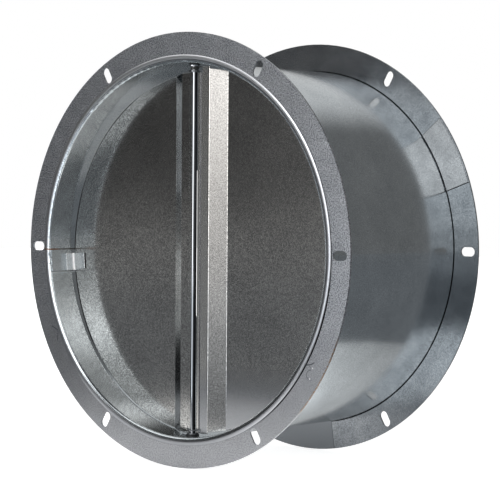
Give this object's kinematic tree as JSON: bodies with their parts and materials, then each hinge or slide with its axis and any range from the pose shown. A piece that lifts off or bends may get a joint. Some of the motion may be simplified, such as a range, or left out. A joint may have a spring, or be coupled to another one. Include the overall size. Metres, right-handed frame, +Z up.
{
  "type": "duct backdraft damper",
  "caption": "Flanged round duct section with spring-closed half-disc blades hinged on an upright rod, which lets air through one way and shuts against backflow",
  "frame": {"origin": "on the duct axis, in the front face of the inlet flange", "axes": "+Y along the duct axis from the inlet to the outlet, the way the air flows; +Z up, along the hinge rod; +X to the right as seen from the inlet"},
  "size_m": [0.465, 0.2255, 0.465],
  "materials": {
    "galvanised_sheet": "zinc-coated sheet, satin with fine grain",
    "galvanised_strip": "zinc-coated strip, grainy satin",
    "zinc_plated_steel": "bright zinc plate",
    "spring_steel": "dark drawn wire",
    "black_nylon": "matt"
  },
  "bodies": {
    "casing": {"casing_tube": "galvanised_sheet", "inlet_flange": "galvanised_strip", "outlet_flange": "galvanised_strip", "inlet_flange_splice": "galvanised_strip", "outlet_flange_splice": "galvanised_strip", "left_stop_tab": "galvanised_sheet", "right_stop_tab": "galvanised_sheet", "hinge_rod": "zinc_plated_steel", "top_seal_washer": "black_nylon", "bottom_seal_washer": "black_nylon", "top_rod_washer": "zinc_plated_steel", "top_outer_washer": "zinc_plated_steel", "bottom_outer_washer": "zinc_plated_steel", "top_nut": "zinc_plated_steel", "bottom_nut": "zinc_plated_steel", "closing_spring": "spring_steel"},
    "left_leaf": {"left_blade": "galvanised_sheet", "left_top_lug": "galvanised_sheet", "left_bottom_lug": "galvanised_sheet"},
    "right_leaf": {"right_blade": "galvanised_sheet", "right_top_lug": "galvanised_sheet", "right_bottom_lug": "galvanised_sheet"}
  },
  "joints": [
    {"name": "left_blade_swing", "type": "hinge", "parent": "casing", "child": "left_leaf", "pos_m": [0, 0.0234, 0], "axis": [0, 0, -1], "range_deg": [0, 60], "stiffness_Nm_per_rad": 0.05, "springref_deg": -34.38, "deforming": ["closing_spring"]},
    {"name": "right_blade_swing", "type": "hinge", "parent": "casing", "child": "right_leaf", "pos_m": [0, 0.0234, 0], "axis": [0, 0, 1], "range_deg": [0, 60], "stiffness_Nm_per_rad": 0.05, "springref_deg": -34.38, "deforming": ["closing_spring"]}
  ]
}
